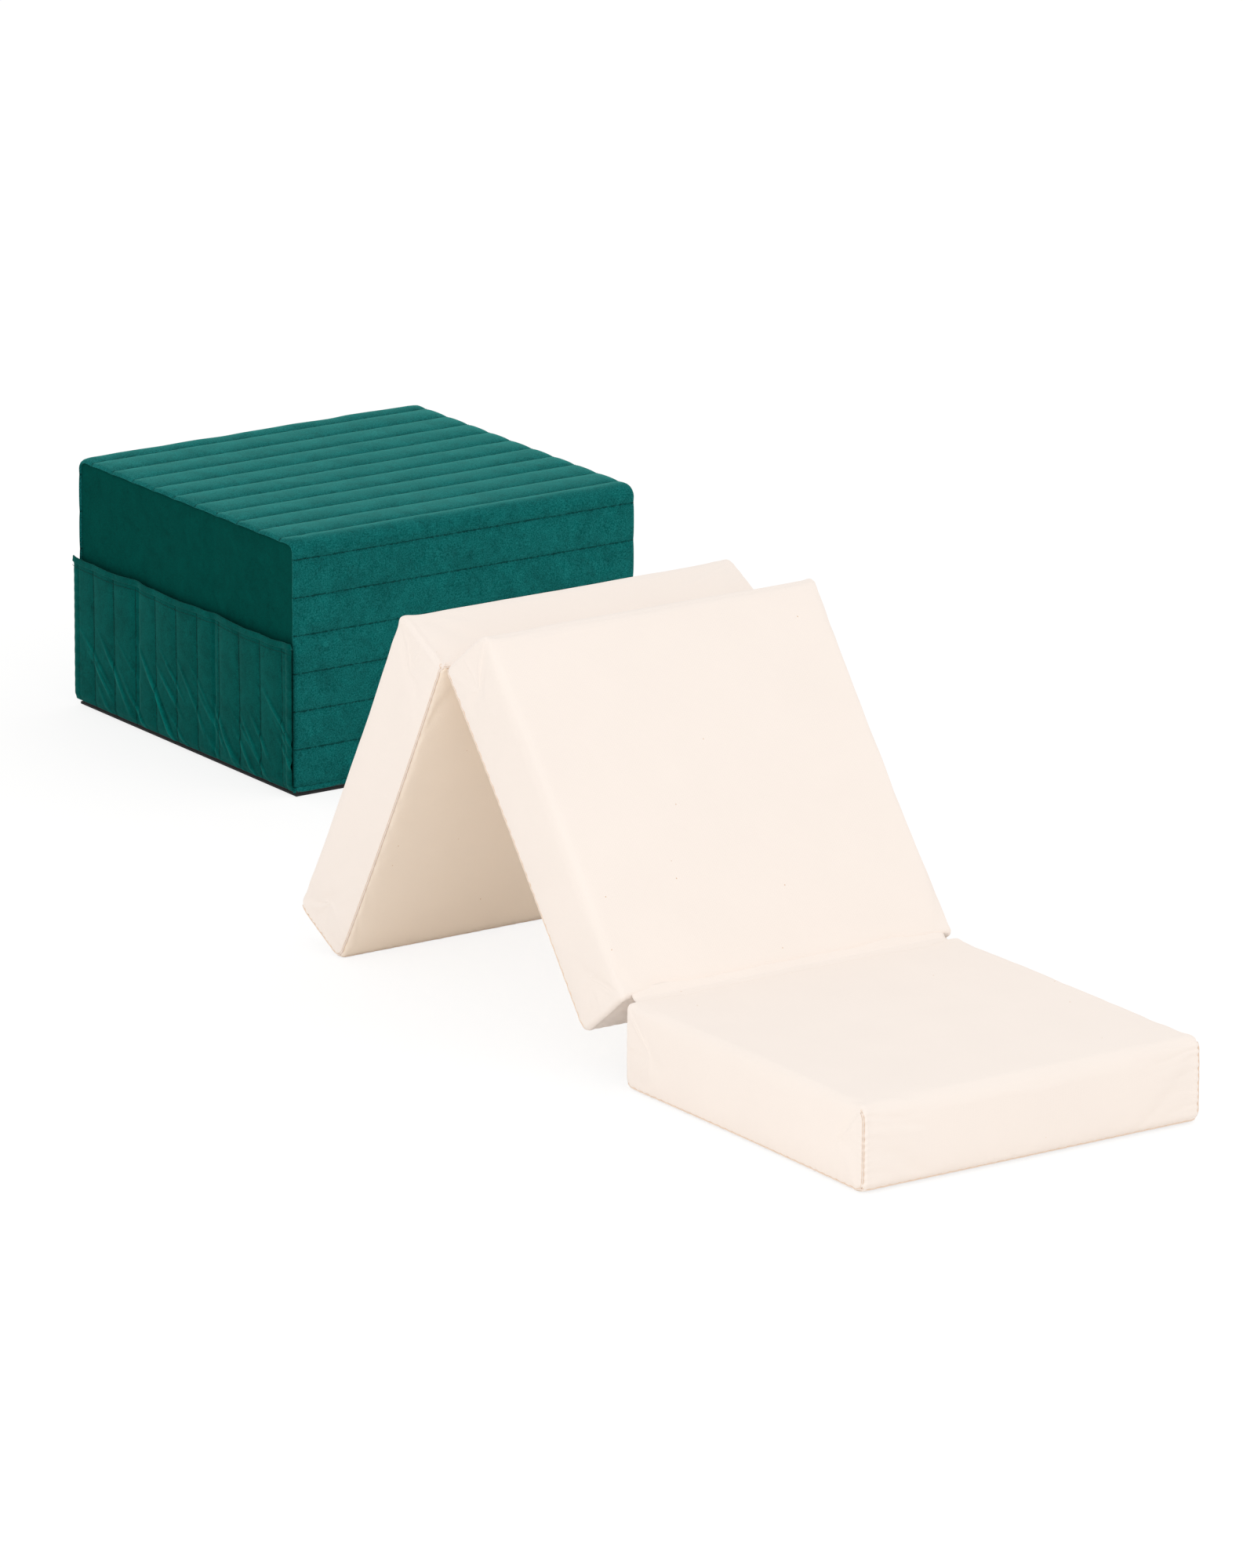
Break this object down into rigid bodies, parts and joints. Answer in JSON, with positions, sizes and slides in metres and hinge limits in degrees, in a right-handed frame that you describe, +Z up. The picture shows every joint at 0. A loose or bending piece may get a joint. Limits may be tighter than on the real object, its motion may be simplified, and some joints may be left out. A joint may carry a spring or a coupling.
{
  "type": "folding guest bed",
  "caption": "Trifold foam guest mattress with hinged cushion sections and a channel-quilted velvet storage case with side pockets and a hood that tips open.",
  "frame": {"origin": "on the floor, under the middle of the front mattress section's underside", "axes": "+X across the bed to the sleeper's right as seen from the front end, +Y along the bed from the flat front section towards the leaning sections and the case, +Z up"},
  "size_m": [1.1684, 3.0123, 0.6461],
  "materials": {
    "cream_cotton": "cream woven cotton twill, matte",
    "foam": "cut polyurethane foam",
    "cream_zip_tape": "woven polyester zip tape",
    "cream_zip_coil": "nylon coil",
    "zip_metal": "nickel-plated zinc",
    "green_velvet": "dark green short-pile velvet, quilted in channels",
    "case_lining_cloth": "black non-woven lining",
    "black_base_cloth": "black non-woven cloth over board",
    "black_zip_tape": "black nylon zip chain"
  },
  "bodies": {
    "front_section": {"front_foam_core": "foam", "front_cover_top": "cream_cotton", "front_cover_underside": "cream_cotton", "front_zip_tape": "cream_zip_tape", "front_zip_coil": "cream_zip_coil", "front_fold_tape_lower": "cream_cotton"},
    "middle_section": {"middle_foam_core": "foam", "middle_cover_top": "cream_cotton", "middle_cover_underside": "cream_cotton", "middle_zip_tape": "cream_zip_tape", "middle_zip_coil": "cream_zip_coil", "front_fold_tape_upper": "cream_cotton", "rear_fold_tape_upper": "cream_cotton"},
    "rear_section": {"rear_foam_core": "foam", "rear_cover_top": "cream_cotton", "rear_cover_underside": "cream_cotton", "rear_zip_tape": "cream_zip_tape", "rear_zip_coil": "cream_zip_coil", "rear_fold_tape_lower": "cream_cotton"},
    "front_zip_slider": {"front_zip_slider": "zip_metal"},
    "front_zip_pull": {"front_zip_pull": "zip_metal"},
    "middle_zip_slider": {"middle_zip_slider": "zip_metal"},
    "middle_zip_pull": {"middle_zip_pull": "zip_metal"},
    "rear_zip_slider": {"rear_zip_slider": "zip_metal"},
    "rear_zip_pull": {"rear_zip_pull": "zip_metal"},
    "case_base": {"case_base_panel": "black_base_cloth", "case_zip_lower_chain": "black_zip_tape", "case_tape_lower": "black_base_cloth"},
    "case_hood": {"case_wrap": "green_velvet", "case_lining": "case_lining_cloth", "case_side_left": "green_velvet", "case_side_right": "green_velvet", "pocket_strip_left": "green_velvet", "pocket_strip_right": "green_velvet", "pocket_binding_left": "green_velvet", "pocket_binding_right": "green_velvet", "case_zip_upper_chain": "black_zip_tape", "case_tape_upper": "black_base_cloth"},
    "case_zip_slider": {"case_zip_slider": "zip_metal"},
    "case_zip_pull": {"case_zip_pull": "zip_metal"}
  },
  "joints": [
    {"name": "fold_front", "type": "hinge", "parent": "front_section", "child": "middle_section", "pos_m": [0, 0.326, 0.143], "axis": [1, 0, 0], "range_deg": [-52, 128]},
    {"name": "fold_rear", "type": "hinge", "parent": "middle_section", "child": "rear_section", "pos_m": [0, 0.84246, 0.5669], "axis": [1, 0, 0], "range_deg": [-65.89, 114.11]},
    {"name": "front_zip_slide", "type": "slide", "parent": "front_section", "child": "front_zip_slider", "axis": [0, -1, 0], "range_m": [0, 0.432]},
    {"name": "front_pull_flip", "type": "hinge", "parent": "front_zip_slider", "child": "front_zip_pull", "pos_m": [0.32965, 0.216, 0.07], "axis": [0, 0, 1], "range_deg": [0, 180]},
    {"name": "middle_zip_slide", "type": "slide", "parent": "middle_section", "child": "middle_zip_slider", "axis": [0, -0.6157, -0.788], "range_m": [0, 0.432]},
    {"name": "middle_pull_flip", "type": "hinge", "parent": "middle_zip_slider", "child": "middle_zip_pull", "pos_m": [0.32965, 0.71721, 0.52516], "axis": [0, -0.788, 0.6157], "range_deg": [0, 180]},
    {"name": "rear_zip_slide", "type": "slide", "parent": "rear_section", "child": "rear_zip_slider", "axis": [0, -0.4677, 0.8839], "range_m": [0, 0.432]},
    {"name": "rear_pull_flip", "type": "hinge", "parent": "rear_zip_slider", "child": "rear_zip_pull", "pos_m": [0.32965, 1.1605, 0.12199], "axis": [0, 0.8839, 0.4677], "range_deg": [0, 180]},
    {"name": "case_slide", "type": "slide", "parent": "front_section", "child": "case_base", "axis": [0, 1, 0], "range_m": [0, 0.6]},
    {"name": "hood_tilt", "type": "hinge", "parent": "case_base", "child": "case_hood", "pos_m": [0.48, 2.6875, 0.007], "axis": [-1, 0, 0], "range_deg": [0, 90]},
    {"name": "case_zip_slide", "type": "slide", "parent": "case_base", "child": "case_zip_slider", "axis": [0, -1, 0], "range_m": [0, 0.62]},
    {"name": "case_pull_flip", "type": "hinge", "parent": "case_zip_slider", "child": "case_zip_pull", "pos_m": [0.8354, 2.647, 0.007], "axis": [0, 0, 1], "range_deg": [0, 180]}
  ]
}
